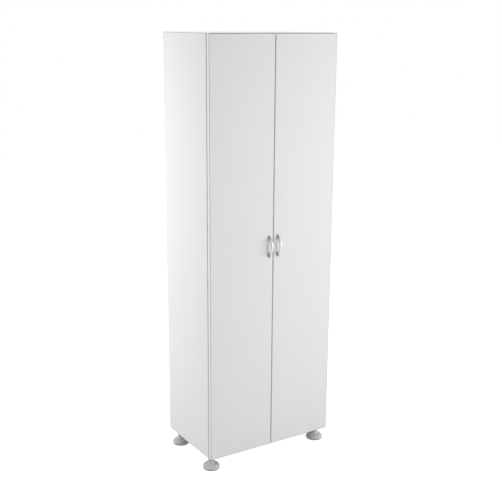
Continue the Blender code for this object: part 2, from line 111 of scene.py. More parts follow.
def remap(tree, value, low, high, start=0.3, stop=0.7):
    """Low where the value is at start, high where it is at stop. Noise stays mostly within 0.3 to 0.7."""
    node = tree.nodes.new("ShaderNodeMapRange")
    sources = {"Value": value, "From Min": start, "From Max": stop, "To Min": low, "To Max": high}
    for label, source in sources.items():
        feed(tree, node.inputs[label], source)
    return node.outputs["Result"]


# %% [markdown]
# ## Background and floor
# The picture is a pale object on pure white, yet its own surfaces aren't flooded with light. So the white is
# for the eye only: the Light Path node tells camera, mirror and glass rays apart, and world and floor are
# bright for those alone.

# %% World
ambient_level = 0.41


def bright_for_view_rays(tree):
    """1 for camera, glossy and transmission rays, otherwise 0."""
    path = tree.nodes.new("ShaderNodeLightPath").outputs
    seen = combine(tree, "MAXIMUM", path["Is Camera Ray"], path["Is Glossy Ray"])
    return combine(tree, "MAXIMUM", seen, path["Is Transmission Ray"])


world = bpy.data.worlds.new("studio")
world.use_nodes = True
scene.world = world
tree = world.node_tree
background = tree.nodes["Background"]
background.inputs["Color"].default_value = (1, 1, 1, 1)
strength = remap(tree, bright_for_view_rays(tree), ambient_level, 1.0, 0.0, 1.0)
tree.links.new(strength, background.inputs["Strength"])
print("ambient level:", ambient_level)

# %% [markdown]
# The floor is a plain square. Its matt part takes the cabinet's shadow, and a glow makes it white to the eye.

# %% Floor
floor_matt, floor_glow, floor_reach = 0.66, 0.80, 9.0

floor_paint = bpy.data.materials.new("floor_paint")
floor_paint.use_nodes = True
tree = floor_paint.node_tree
tree.nodes.remove(tree.nodes["Principled BSDF"])
matt = tree.nodes.new("ShaderNodeBsdfDiffuse")
matt.inputs["Color"].default_value = (floor_matt, floor_matt, floor_matt, 1)
glow = tree.nodes.new("ShaderNodeEmission")
feed(tree, glow.inputs["Strength"], combine(tree, "MULTIPLY", bright_for_view_rays(tree), floor_glow))
both = tree.nodes.new("ShaderNodeAddShader")
tree.links.new(matt.outputs[0], both.inputs[0])
tree.links.new(glow.outputs[0], both.inputs[1])
tree.links.new(both.outputs[0], tree.nodes["Material Output"].inputs["Surface"])

floor_corners = [(x * floor_reach, y * floor_reach, 0) for x, y in ((-1, -1), (1, -1), (1, 1), (-1, 1))]
floor_mesh = bpy.data.meshes.new("floor")
floor_mesh.from_pydata(floor_corners, [], [(0, 1, 2, 3)])
floor_mesh.materials.append(floor_paint)
floor = bpy.data.objects.new("floor", floor_mesh)
scene.collection.objects.link(floor)
print("floor:", 2 * floor_reach, "m square")

# %% [markdown]
# ## Lamps
# The key lamp stands a little right of the doors' normal and throws each handle's shadow to the left. A broad
# one further right fills the doors, one on the left lifts the side panel above them, and a weak one overhead
# lights the top. Key and left lamp stay out of mirror rays, so they leave no hard spots in the metal.

# %% Lamps
def lamp(name, place, target, size, power, in_gloss=True):
    data = bpy.data.lights.new(name, "AREA")
    data.shape = "RECTANGLE"
    data.size, data.size_y = size
    data.energy = power
    made = bpy.data.objects.new(name, data)
    made.location = place
    made.rotation_euler = (Vector(target) - Vector(place)).to_track_quat("-Z", "Y").to_euler()
    made.visible_camera = False
    made.visible_glossy = in_gloss
    scene.collection.objects.link(made)


lamp("key", (0.62, -2.55, 1.20), (0.1, -0.17, 1.17), (0.35, 0.35), 20.0, in_gloss=False)
lamp("right_fill", (2.35, -1.90, 1.22), (0.1, -0.17, 1.17), (1.6, 1.6), 28.5)
lamp("left_panel", (-1.72, 1.19, 1.30), (-0.3, 0.02, 1.27), (0.9, 0.9), 30.5, in_gloss=False)
lamp("overhead", (0.0, 0.06, 3.00), (0.0, 0.02, 1.80), (0.45, 0.30), 7.5)
scene.view_settings.view_transform = "Standard"

# %% [markdown]
# ## Shader groups
# Effects that several finishes share are groups: each is built once, takes named values, and puts out a
# colour, a roughness and a height. All work on object coordinates, so a pattern keeps its true scale and turns
# with the door. The Principled shader stays in each material.

# %% Group helpers
def new_group(name, inputs):
    """A new group's tree, the sockets of its inputs inside it, and those of its outputs."""
    tree = bpy.data.node_groups.new(name, "ShaderNodeTree")
    for label, start in inputs.items():
        kind = "NodeSocketFloat" if isinstance(start, float) else "NodeSocketColor"
        tree.interface.new_socket(label, in_out="INPUT", socket_type=kind).default_value = start
    for label, kind in (("Colour", "Color"), ("Roughness", "Float"), ("Height", "Float")):
        tree.interface.new_socket(label, in_out="OUTPUT", socket_type=f"NodeSocket{kind}")
    return tree, tree.nodes.new("NodeGroupInput").outputs, tree.nodes.new("NodeGroupOutput").inputs


def put_out(tree, leave, **sources):
    """Links the sources to the group's outputs and hands back the group."""
    for label, source in sources.items():
        tree.links.new(source, leave[label])
    print("group:", tree.name)
    return tree


# %% [markdown]
# Most patterns start from noise, stretched where the real marks run one way. Two more helpers add patterns
# together and shade a colour by one.

# %% Pattern helpers
ALL_WAYS = (1.0, 1.0, 1.0)


def noise_in(tree, stretch, scale, detail):
    """Noise on object coordinates, stretched by the vector. The scale counts features per metre."""
    place = tree.nodes.new("ShaderNodeTexCoord")
    mapping = tree.nodes.new("ShaderNodeMapping")
    mapping.inputs["Scale"].default_value = stretch
    tree.links.new(place.outputs["Object"], mapping.inputs["Vector"])
    pattern = tree.nodes.new("ShaderNodeTexNoise")
    feed(tree, pattern.inputs["Scale"], scale)
    pattern.inputs["Detail"].default_value = detail
    tree.links.new(mapping.outputs["Vector"], pattern.inputs["Vector"])
    return pattern.outputs["Fac"]


def blend(tree, first, first_share, second):
    """Both patterns added, the first with its share and the second with the rest."""
    first_part = combine(tree, "MULTIPLY", first, first_share)
    return combine(tree, "ADD", first_part, combine(tree, "MULTIPLY", second, 1.0 - first_share))


def tinted(tree, colour, shade):
    """The colour multiplied by a grey value."""
    mix = tree.nodes.new("ShaderNodeMix")
    mix.data_type = "RGBA"
    mix.blend_type = "MULTIPLY"
    mix.inputs["Factor"].default_value = 1.0
    tree.links.new(colour, mix.inputs["A"])
    tree.links.new(shade, mix.inputs["B"])
    return mix.outputs["Result"]


# %% [markdown]
# ### Melamine sheet
# White melamine is a printed paper under hard resin. It isn't quite even: the press leaves a faint orange
# peel, and very faint streaks run down the board. They shift the tone by a percent or two only.

# %% Melamine group
tree, entry, leave = new_group(
    "melamine_sheet", {"Colour": (0.8, 0.8, 0.8, 1), "Streak Depth": 0.03, "Gloss Drift": 0.06}
)
resin_roughness = 0.42
streaks = noise_in(tree, (30.0, 30.0, 0.6), 1.0, 4.0)
clouds = noise_in(tree, (1.0, 1.0, 0.5), 3.0, 2.0)
peel = noise_in(tree, ALL_WAYS, 520.0, 2.0)
uneven = blend(tree, streaks, 0.6, clouds)
darkest = combine(tree, "SUBTRACT", 1.0, entry["Streak Depth"])
shade = remap(tree, uneven, darkest, 1.0)
dullest = combine(tree, "ADD", resin_roughness, entry["Gloss Drift"])
melamine_sheet = put_out(
    tree, leave,
    Colour=tinted(tree, entry["Colour"], shade),
    Roughness=remap(tree, clouds, resin_roughness, dullest),
    Height=peel,
)

# %% [markdown]
# ### Worked metal
# Plated parts show the way they were polished or rolled, in fine scratches along one axis, and cloudy patches
# where fingers dulled them. Stretching a noise far along an axis gives the scratches.

# %% Metal group
tree, entry, leave = new_group(
    "worked_metal", {"Colour": (0.6, 0.6, 0.6, 1), "Polish": 0.24, "Scratch": 0.12}
)
strokes = noise_in(tree, (900.0, 900.0, 40.0), 1.0, 3.0)
patches = noise_in(tree, ALL_WAYS, 60.0, 3.0)
roughest = combine(tree, "ADD", entry["Polish"], entry["Scratch"])
worn = blend(tree, strokes, 0.5, patches)
worked_metal = put_out(
    tree, leave,
    Roughness=remap(tree, worn, entry["Polish"], roughest),
    Colour=tinted(tree, entry["Colour"], remap(tree, patches, 0.86, 1.0)),
    Height=strokes,
)

# %% [markdown]
# ### Moulded plastic
# Moulded parts have an even grain from the spark-eroded mould and slow changes of tone where the melt met.

# %% Plastic group
tree, entry, leave = new_group(
    "moulded_plastic", {"Colour": (0.5, 0.5, 0.5, 1), "Grain": 900.0, "Mottle": 0.06}
)
melt = noise_in(tree, ALL_WAYS, 45.0, 3.0)
grain = noise_in(tree, ALL_WAYS, entry["Grain"], 2.0)
darkest = combine(tree, "SUBTRACT", 1.0, entry["Mottle"])
moulded_plastic = put_out(
    tree, leave,
    Colour=tinted(tree, entry["Colour"], remap(tree, melt, darkest, 1.0)),
    Roughness=remap(tree, melt, 0.30, 0.44),
    Height=grain,
)

# %% [markdown]
# ## Finishes
# One function builds a material round a group: its colour and roughness feed the shader, and its height feeds
# a Bump node whose distance is the relief's real depth. A value that is the same all over, such as Metallic,
# is set on the shader's own socket.

# %% Material maker
def finish_material(name, group, values, relief=0.00002, relief_strength=0.4, **constants):
    made = bpy.data.materials.new(name)
    made.use_nodes = True
    tree = made.node_tree
    shader = tree.nodes["Principled BSDF"]
    surface = tree.nodes.new("ShaderNodeGroup")
    surface.node_tree = group
    for label, value in values.items():
        surface.inputs[label].default_value = value
    for label, value in constants.items():
        shader.inputs[label.replace("_", " ")].default_value = value
    bump = tree.nodes.new("ShaderNodeBump")
    bump.inputs["Strength"].default_value = relief_strength
    bump.inputs["Distance"].default_value = relief
    tree.links.new(surface.outputs["Colour"], shader.inputs["Base Color"])
    tree.links.new(surface.outputs["Roughness"], shader.inputs["Roughness"])
    tree.links.new(surface.outputs["Height"], bump.inputs["Height"])
    tree.links.new(bump.outputs["Normal"], shader.inputs["Normal"])
    return made


def grey(value, warmth=0.0):
    return (value + warmth, value, value - warmth, 1.0)


# %% [markdown]
# ### Board finishes
# A board shows the white sheet, the slightly paler band round its edges, and between the two a near-black line
# of painted shade and dark reflection from the eased edges.

# %% Board finishes
melamine_white = finish_material(
    "melamine_white", melamine_sheet, {"Colour": grey(0.804), "Streak Depth": 0.018}, Specular_IOR_Level=0.3
)
edge_band = finish_material(
    "edge_band", melamine_sheet, {"Colour": grey(0.835), "Streak Depth": 0.015}, Specular_IOR_Level=0.3
)
# A near-black line of painted shade and dark reflection, where the eased edges turn away from the light.
painted_edge_shade = finish_material(
    "painted_edge_shade", melamine_sheet, {"Colour": grey(0.07), "Streak Depth": 0.3, "Gloss Drift": 0.2}
)
board_finishes = [melamine_white, edge_band, painted_edge_shade]
print("board finishes:", [finish.name for finish in board_finishes])

# %% [markdown]
# ### Metal finishes
# The handles are satin nickel. In the photograph their ends are clearly darker than the bow, from shade in the
# corner between bow and door and from the dark room they mirror. That is painted shade and dark reflection in
# the base colour, which darkens with the distance from the handle's middle. Hinges are brighter nickel, and
# screws, pins and locks are bluish zinc.

# %% Metal finishes
metal_relief = 0.00001
satin_nickel = finish_material(
    "satin_nickel", worked_metal, {"Colour": grey(0.62, 0.002), "Polish": 0.26, "Scratch": 0.10},
    metal_relief, 0.25, Metallic=1.0,
)
# Painted shade and dark reflection: the handle's base colour darkens towards both ends.
shade_from, shade_to, painted_end_shade = 0.032, 0.041, 0.58
tree = satin_nickel.node_tree
base_colour = tree.nodes["Principled BSDF"].inputs["Base Color"]
plain = base_colour.links[0].from_socket
place = tree.nodes.new("ShaderNodeTexCoord")
apart = tree.nodes.new("ShaderNodeSeparateXYZ")
tree.links.new(place.outputs["Object"], apart.inputs[0])
distance = combine(tree, "ABSOLUTE", apart.outputs["Z"], 0.0)
tree.links.new(tinted(tree, plain, remap(tree, distance, 1.0, painted_end_shade, shade_from, shade_to)), base_colour)

hinge_nickel = finish_material(
    "hinge_nickel", worked_metal, {"Colour": grey(0.62, 0.004), "Polish": 0.18, "Scratch": 0.16},
    metal_relief, 0.2, Metallic=1.0,
)
zinc_plate = finish_material(
    "zinc_plate", worked_metal, {"Colour": (0.55, 0.565, 0.585, 1.0), "Polish": 0.28, "Scratch": 0.2},
    metal_relief, 0.3, Metallic=1.0,
)
print("metals:", satin_nickel.name, hinge_nickel.name, zinc_plate.name)

# %% [markdown]
# ### Plastic finishes
# The feet are silver grey with a thin lacquer, their sockets a darker grey that paints the shade under the
# cabinet, the glide pads nearly black, and the door buffers milky.

# %% Plastic finishes
silver_grey_plastic = finish_material(
    "silver_grey_plastic", moulded_plastic, {"Colour": grey(0.60), "Grain": 1100.0, "Mottle": 0.08},
    0.00002, 0.25, Coat_Weight=0.3,
)
# The sockets' darker grey is painted shade, for where they stand in the cabinet's shadow.
socket_plastic = finish_material(
    "socket_plastic", moulded_plastic, {"Colour": grey(0.42), "Grain": 900.0, "Mottle": 0.05}, 0.00003, 0.3
)
glide_pad = finish_material(
    "glide_pad", moulded_plastic, {"Colour": grey(0.10), "Grain": 700.0, "Mottle": 0.15}, 0.00004, 0.4
)
buffer_plastic = finish_material(
    "buffer_plastic", moulded_plastic, {"Colour": (0.78, 0.80, 0.81, 1.0), "Grain": 1500.0, "Mottle": 0.1},
    0.00001, 0.2, Coat_Weight=0.4,
)
print("finishes:", len(bpy.data.materials))

# %% [markdown]
# ## Making and placing a piece
# `place_piece` gives a piece its materials and its place, says which solid it stands for, and lets it ride on
# that solid's body, so that a door takes its handle, screws, cups and buffer along.

# %% Placing
body_of_node = {node: body for body, nodes in frame["record"]["behaviour"]["bodies"].items() for node in nodes}


def as_mesh(shape, name="shape", smooth_angle=None):
    """A mesh as it is, or a new shape as a mesh, smooth where its faces meet at less than the angle."""
    if isinstance(shape, bpy.types.Mesh):
        return shape
    bmesh.ops.recalc_face_normals(shape, faces=shape.faces)
    mesh = bpy.data.meshes.new(name)
    shape.to_mesh(mesh)
    shape.free()
    if smooth_angle:
        mesh.shade_smooth()
        mesh.set_sharp_from_angle(angle=math.radians(smooth_angle))
    return mesh


def place_piece(shape, node, materials, place=(0, 0, 0), smooth_angle=35):
    mesh = as_mesh(shape, node, smooth_angle)
    for finish in materials:
        mesh.materials.append(finish)
    made = bpy.data.objects.new(f"dressed_{node}", mesh)
    made.matrix_world = at(place)
    scene.collection.objects.link(made)
    bpy.context.view_layer.update()
    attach(made, body_of_node[node])
    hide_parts(node)


def centre_of(node):
    low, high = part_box(node)
    return (low + high) / 2


print("bodies:", sorted(set(body_of_node.values())))

# %% [markdown]
# Pieces are built up from small shapes. `stamp` adds one to a piece, and `cut_out` drills or slots a shape with
# a Boolean, as a workshop would.

# %% Mesh helpers
def stamp(bm, shape, matrix=None):
    """Adds a copy of the shape to the piece being made."""
    before = len(bm.verts)
    bm.from_mesh(as_mesh(shape))
    bm.verts.ensure_lookup_table()
    bmesh.ops.transform(bm, matrix=matrix or Matrix(), verts=bm.verts[before:])


def add_cylinder(bm, start, end, radius, sides=24):
    start, end = Vector(start), Vector(end)
    run = end - start
    matrix = at((start + end) / 2) @ run.to_track_quat("Z", "Y").to_matrix().to_4x4()
    bmesh.ops.create_cone(
        bm, cap_ends=True, segments=sides, radius1=radius, radius2=radius, depth=run.length, matrix=matrix
    )


def block(centre, size):
    """A plain box, for a cutter or a board's blank."""
    bm = bmesh.new()
    bmesh.ops.create_cube(bm, size=1.0, matrix=at(centre) @ Matrix.Diagonal((*size, 1.0)))
    return bm


def cut_out(shape, tool):
    """The shape as a mesh, without the space of the tool, by a Boolean."""
    worked = bpy.data.objects.new("worked", as_mesh(shape))
    cutter = bpy.data.objects.new("cutter", as_mesh(tool))
    for thing in (worked, cutter):
        scene.collection.objects.link(thing)
    cut = worked.modifiers.new("cut", "BOOLEAN")
    cut.operation = "DIFFERENCE"
    cut.object = cutter
    graph = bpy.context.evaluated_depsgraph_get()
    made = bpy.data.meshes.new_from_object(worked.evaluated_get(graph))
    for thing in (worked, cutter):
        bpy.data.objects.remove(thing)
    return made


# %% [markdown]
# ## Faced boards
# Every board is 16 mm particle board between two melamine sheets, with a thin band glued round its eased
# edges. Just inside a face's edges, where sheet and band meet, a fine near-black line paints the shade and dark
# reflection of the eased edges. As in the photograph its width differs from edge to edge, from 2.3 mm at the
# side panel's front to half a millimetre or less. The line is real geometry, a narrow ring round the inset
# face, so it stays crisp from any distance.

# %% Board mesh
def board_mesh(name, low, high, lined_faces, ease=0.0009, line=0.0005, widths=None):
    """A box with eased edges. lined_faces holds the axis directions whose face shows the painted shade line.

    widths holds the line's width at the edges where it isn't the usual one, by axis and sign.
    """
    middle, size = (low + high) / 2, high - low
    bm = block(middle, size)
    bmesh.ops.bevel(bm, geom=bm.edges[:], offset=ease, segments=3, profile=0.5, affect="EDGES")
    thin = min(range(3), key=lambda axis: size[axis])
    for face in bm.faces:
        face.material_index = 0 if abs(face.normal[thin]) > 0.999 else 1
    for direction in lined_faces:
        wide = max(bm.faces, key=lambda face: face.calc_area() * face.normal.dot(Vector(direction)))
        ring = bmesh.ops.inset_region(bm, faces=[wide], thickness=line, use_even_offset=True)
        # The ring is the near-black line of painted shade and dark reflection.
        for face in ring["faces"]:
            face.material_index = 2
        for (axis, sign), width in (widths or {}).items():
            for vert in wide.verts:
                if (vert.co - middle)[axis] * sign > 0:
                    vert.co[axis] += sign * (line - width)
    return as_mesh(bm, name)


# %% [markdown]
# ## The doors
# Each door covers its half of the carcass. Its back has three round pockets for the hinge cups and two holes
# for the handle's screws, which show when it is open. One Boolean with all the drills at once cuts them. The
# places of hinges and handles are read from their solids.

# %% Doors
outer_x = 0.300
cup_radius, cup_depth, cup_inset = 0.0175, 0.0115, 0.0225
pocket_play, pocket_spare_depth = 0.0003, 0.0006
handle_hole_spacing, handle_hole_radius = 0.076, 0.0023
door_front_y, door_back_y = (corner.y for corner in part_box("door_left"))
front_y, back_y = (corner.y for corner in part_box("side_panel_left"))
hinge_heights = {level: centre_of(f"hinge_cup_left_{level}").z for level in ("bottom", "middle", "top")}
handle_x, handle_z = abs(centre_of("handle_left").x), centre_of("handle_left").z

for label, side in SIDES.items():
    low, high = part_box(f"door_{label}")
    outer_line = 0.0012 if side < 0 else 0.0007
    widths = {(0, -side): 0.0006, (0, side): outer_line, (2, 1): 0.0016, (2, -1): 0.0007}
    blank = board_mesh(f"door_{label}", low, high, [(0, -1, 0), (0, 1, 0)], widths=widths)
    drills = bmesh.new()
    cup_x, pocket_y = side * (outer_x - cup_inset), door_back_y - cup_depth - pocket_spare_depth
    for height in hinge_heights.values():
        add_cylinder(drills, (cup_x, back_y, height), (cup_x, pocket_y, height), cup_radius + pocket_play, 64)
    for end in (-1, 1):
        x, z = side * handle_x, handle_z + end * handle_hole_spacing / 2
        add_cylinder(drills, (x, door_front_y - 0.01, z), (x, back_y, z), handle_hole_radius, 20)
    place_piece(cut_out(blank, drills), f"door_{label}", board_finishes)
print("door", [round(value * 1000, 1) for value in high - low], "mm, hinges at", hinge_heights)

# %% [markdown]
# ## Side panels
# They are drilled on their inner faces: two rows of five holes at each loose shelf, on the usual 32 mm pitch,
# holes for the cam locks' bolts, and a housing that the fixed shelf sits in. Their places are read from the
# solids of pins, locks and shelf.

# %% Side panels
board_thickness = 0.016
inner_x = outer_x - board_thickness
pin_pitch, pin_hole_radius, pin_hole_depth = 0.032, 0.0027, 0.009
bolt_hole_radius, bolt_hole_depth = 0.0028, 0.0113
housing_depth, housing_play = 0.005, 0.0003
overshoot = 0.02  # how far a cutter reaches past the board

side_lines = {(1, -1): 0.0023, (1, 1): 0.0004, (2, -1): 0.0005, (2, 1): 0.0009}
shelf_low, shelf_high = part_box("fixed_shelf")
for label, side in SIDES.items():
    low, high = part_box(f"side_panel_{label}")
    lined = [(side, 0, 0), (-side, 0, 0), (0, -1, 0)]
    blank = board_mesh(f"side_panel_{label}", low, high, lined, widths=side_lines)
    drills = bmesh.new()
    deep = Vector((side * pin_hole_depth, 0, 0))
    for shelf, row, step in product(("lower", "upper"), ROWS, range(-2, 3)):
        centre = centre_of(f"shelf_pin_{shelf}_{label}_{row}")
        spot = Vector((side * inner_x, centre.y, centre.z + step * pin_pitch))
        add_cylinder(drills, spot - deep, spot + deep, pin_hole_radius, 20)
    for level, row in product(("top", "bottom"), ROWS):
        centre = centre_of(f"cam_lock_{level}_{label}_{row}")
        start, end = side * (inner_x - 0.01), side * (inner_x + bolt_hole_depth)
        add_cylinder(drills, (start, *centre.yz), (end, *centre.yz), bolt_hole_radius, 16)
    near = Vector((side * (inner_x - overshoot), shelf_low.y - housing_play, shelf_low.z - housing_play))
    far = Vector((side * (inner_x + housing_depth), back_y + overshoot, shelf_high.z + housing_play))
    housing = block((near + far) / 2, far - near)
    place_piece(cut_out(cut_out(blank, drills), housing), f"side_panel_{label}", board_finishes)
print("side panels: 20 pin holes each")

# %% [markdown]
# ## Top and bottom panels
# Each has four round pockets in its underside for the cam locks, and from each a channel through the board's
# end for the lock's bolt. Pocket and channel cross, so they are cut one after the other.

# %% Top and bottom panels
lock_inset, lock_from_end = 0.085, 0.034
lock_x = inner_x - lock_from_end
pocket_radius, pocket_depth = 0.0079, 0.0126
channel_radius = 0.0033

for label in ("top", "bottom"):
    low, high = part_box(f"{label}_panel")
    blank = board_mesh(f"{label}_panel", low, high, [(0, -1, 0)], ease=0.0006)
    mid_z = low.z + board_thickness / 2
    pockets, channels = bmesh.new(), bmesh.new()
    for side, y in product(SIDES.values(), (front_y + lock_inset, back_y - lock_inset)):
        x = side * lock_x
        add_cylinder(pockets, (x, y, low.z - 0.01), (x, y, low.z + pocket_depth), pocket_radius, 40)
        add_cylinder(channels, (x, y, mid_z), (side * outer_x, y, mid_z), channel_radius, 20)
    place_piece(cut_out(cut_out(blank, pockets), channels), f"{label}_panel", board_finishes)
print("cam locks", round(lock_x, 3), "m from the middle")

# %% [markdown]
# ## Shelves
# The fixed shelf and the two loose ones are plain boards, with the painted shade line on their front edges.

# %% Shelves
for node in ("fixed_shelf", "lower_shelf", "upper_shelf"):
    low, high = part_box(node)
    place_piece(board_mesh(node, low, high, [(0, -1, 0)], ease=0.0007), node, board_finishes)
print("shelves", [round(value * 1000, 1) for value in high - low], "mm")

# %% [markdown]
# ## Turned shapes
# Screws, cups, locks, pins, feet and sockets are turned parts. The lathe makes a ring of points for each point
# of a profile and joins the rings with faces.

# %% Lathe
TO_BACK = Matrix.Rotation(-math.pi / 2, 4, "X")  # turns +Z to +Y


def to_side(side):
    """Turns +Z to +X on the right, and to -X on the left."""
    return Matrix.Rotation(side * math.pi / 2, 4, "Y")


def join_rings(bm, rings):
    """Joins each ring of points to the next with faces. A ring of one point closes the shape."""
    for lower, upper in zip(rings, rings[1:]):
        sides = max(len(lower), len(upper))
        for step in range(sides):
            following = (step + 1) % sides
            quad = ((lower, step), (lower, following), (upper, following), (upper, step))
            bm.faces.new(list(dict.fromkeys(ring[index % len(ring)] for ring, index in quad)))


def lathe(profile, sides, turn=None):
    """Turns (radius, height) points about Z into a new shape. A radius of 0 gives a ring of one point."""
    bm = bmesh.new()
    rings = []
    for radius, height in profile:
        angles = [2 * math.pi * step / sides for step in range(sides if radius else 1)]
        rings.append([bm.verts.new((radius * math.cos(a), radius * math.sin(a), height)) for a in angles])
    join_rings(bm, rings)
    if turn:
        bmesh.ops.transform(bm, matrix=turn, verts=bm.verts[:])
    return bm


# %% [markdown]
# Two kinds of run come back in several profiles: a rolled thread and a round corner.

# %% Profile helpers
def thread(crest, root, start, length, steps):
    """Points of a thread from its start, by turns at the root and at the crest."""
    return [(crest if step % 2 else root, start + length * step / steps) for step in range(steps + 1)]


def quarter_turn(steps):
    """Cosine and sine at even steps of a right angle, without the first."""
    angles = [math.pi / 2 * step / steps for step in range(1, steps + 1)]
    return [(math.cos(angle), math.sin(angle)) for angle in angles]


# %% [markdown]
# ## Screw heads
# The same pan head with a cross recess holds the handles, the hinge cups and the mounting plates. It is made
# once: a domed lathe shape 1 m in radius, with two crossed slots cut out. Copies are stamped into each piece
# at the right size, so a hinge part stays one object.

# %% Screw head
def cross_recess(shape, level, reach, width, depth):
    """The shape with two slots at right angles, whose middle is on the Z axis at the level."""
    for size in ((reach, width, depth), (width, reach, depth)):
        shape = cut_out(shape, block((0, 0, level), size))
    return shape


crown = 0.5
head_profile = [(0, crown)]
head_profile += [(0.55 + 0.45 * out, crown * (0.35 + 0.65 * rise)) for rise, out in quarter_turn(6)]
head_profile += [(1, 0), (0, 0)]
cross_head = cross_recess(lathe(head_profile, 40), 0.42, 1.15, 0.20, 0.5)


def stamp_screw(bm, place, direction, radius, stretch):
    """Stamps a screw head of the radius, which rises by half the stretch."""
    turn = Vector(direction).to_track_quat("Z", "Y").to_matrix().to_4x4()
    stamp(bm, cross_head, at(place) @ turn @ Matrix.Diagonal((radius, radius, stretch, 1.0)))


print("screw head:", len(cross_head.vertices), "points")

# %% [markdown]
# ## The back
# The back is 3 mm hardboard, lacquered white on the face towards the shelves and raw brown behind, where it
# shows pressed fibres. Fibres are short marks in all directions, so two stretched noises cross each other.

# %% Back finishes
tree, entry, leave = new_group("pressed_fibre", {"Colour": (0.35, 0.22, 0.12, 1), "Depth": 0.35})
across_fibres = noise_in(tree, (700.0, 1.0, 90.0), 1.0, 4.0)
down_fibres = noise_in(tree, (90.0, 1.0, 700.0), 1.0, 4.0)
stains = noise_in(tree, ALL_WAYS, 7.0, 4.0)
crossed = combine(tree, "MULTIPLY", combine(tree, "ADD", across_fibres, down_fibres), 0.5)
mixed = blend(tree, crossed, 0.65, stains)
darkest = combine(tree, "SUBTRACT", 1.0, entry["Depth"])
fibre_shade = remap(tree, mixed, darkest, 1.0, 0.38, 0.62)
pressed_fibre = put_out(
    tree, leave,
    Colour=tinted(tree, entry["Colour"], fibre_shade),
    Roughness=remap(tree, crossed, 0.62, 0.82),
    Height=crossed,
)

lacquered_face = finish_material(
    "lacquered_face", melamine_sheet, {"Colour": grey(0.76), "Streak Depth": 0.04, "Gloss Drift": 0.15}
)
raw_face = finish_material(
    "raw_face", pressed_fibre, {"Colour": (0.40, 0.27, 0.155, 1.0), "Depth": 0.30}, 0.0001, 0.5
)

# %% [markdown]
# Small nails hold the back to the boards' edges. Each is a shallow head from the lathe, stamped into the sheet,
# which is thinner by the heads' rise so that both fit the solid.

# %% Back panel
nail_rise, nail_radius, nail_root = 0.0003, 0.0024, -0.0005
nail_pitch, nail_inset = 0.118, 0.008
nail_profile = [(0, nail_rise), (nail_radius * 0.8, nail_rise), (nail_radius, 0.0001)]
nail_profile += [(nail_radius, nail_root), (0, nail_root)]
nail_mesh = as_mesh(lathe(nail_profile, 16), "nail", 40)

low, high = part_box("back_panel")
sheet_y = high.y - nail_rise
sheet = board_mesh("back_panel", low, high - Vector((0, nail_rise, 0)), [], ease=0.0004)
for face in sheet.polygons:
    face.material_index = 1 if face.normal.y > 0.9 else 0

half_wide = high.x - nail_inset
lowest, highest = low.z + nail_inset, high.z - nail_inset
rows, columns = round((highest - lowest) / nail_pitch), round(2 * half_wide / nail_pitch)
levels = [lowest + (highest - lowest) * step / rows for step in range(rows + 1)]
spots = list(product((-half_wide, half_wide), levels))
spots += [(half_wide * (2 * step / columns - 1), z) for step in range(1, columns) for z in (lowest, highest)]

nailed = bmesh.new()
nailed.from_mesh(sheet)
bare_faces = len(nailed.faces)
for across, level in spots:
    stamp(nailed, nail_mesh, at((across, sheet_y, level)) @ TO_BACK)
nailed.faces.ensure_lookup_table()
for face in nailed.faces[bare_faces:]:
    face.material_index = 2
nailed.to_mesh(sheet)
nailed.free()
place_piece(sheet, "back_panel", [lacquered_face, raw_face, zinc_plate])
print("back", [round(value * 1000, 1) for value in high - low], "mm,", len(spots), "nails")

# %% [markdown]
# ## The handles
# A cast bow, 98 mm long, crowned across its width, widest in the middle and drawn to a point at both ends.
# Seen from the side it is a crescent: an outer and an inner arc that close into solid ends standing on the
# door. A loft of rounded sections between the two arcs gives that shape directly.

# %% Bow
handle_length, handle_projection = 0.098, 0.0275
inner_length, inner_rise = 0.058, 0.0212
width_at_ends, width_gain = 0.008, 0.0035
tip_from, tip_narrowing, tip_power = 0.0335, 0.90, 1.3
contact_gap = 0.0003


def arc_point(half_span, height, share):
    """Place along the span and rise of an arc, at a share of -1 to 1."""
    radius = (half_span**2 + height**2) / (2 * height)
    angle = share * math.asin(half_span / radius)
    return radius * math.sin(angle), radius * math.cos(angle) - radius + height


def softened(value, power):
    """Keeps the sign and raises the size to a power: below 1 it makes a round section squarer."""
    return math.copysign(abs(value) ** power, value)


def bow(stations=72, corners=40):
    bm = bmesh.new()
    rings = []
    for station in range(stations + 1):
        share = 2 * station / stations - 1
        outer_z, outer_y = arc_point(handle_length / 2, handle_projection - contact_gap, share)
        inner_z, inner_y = arc_point(inner_length / 2, inner_rise, share)
        half_width = (width_at_ends + width_gain * math.cos(share * math.pi / 2)) / 2
        ring = []
        for corner in range(corners):
            angle = 2 * math.pi * (corner + 0.5) / corners
            outward = (1 + softened(math.sin(angle), 0.80)) / 2
            rise = inner_y + (outer_y - inner_y) * outward
            height = inner_z + (outer_z - inner_z) * outward
            into_tip = max(0.0, abs(height) - tip_from) / (handle_length / 2 - tip_from)
            narrowed = half_width * (1 - tip_narrowing * into_tip**tip_power)
            ring.append(bm.verts.new((narrowed * softened(math.cos(angle), 0.72), -rise, height)))
        rings.append(ring)
    join_rings(bm, rings)
    for ring in (rings[0], rings[-1]):
        bm.faces.new(ring)
    return bm


# %% [markdown]
# Both handles are the same bow. Each stands a hair off its door, so that the two don't cut each other.

# %% Handles
for label, side in SIDES.items():
    place = (side * handle_x, door_front_y - contact_gap, handle_z)
    place_piece(bow(), f"handle_{label}", [satin_nickel], place, 40)
print("handles at x", round(handle_x, 4), "z", round(handle_z, 3))

# %% [markdown]
# ## Handle screws
# Two machine screws go through each door from behind. Only their heads show, on the open door's back, but the
# shank is there too, with its rolled thread as fine ridges.

# %% Handle screws
seat = 0.0002  # how far a shank reaches into its head, so that they are one piece
in_handle = 0.007
shank_length = door_back_y - door_front_y + 2 * contact_gap + in_handle
shank = [(0, seat)] + thread(0.002, 0.00175, seat, -shank_length, 56) + [(0, seat - shank_length)]

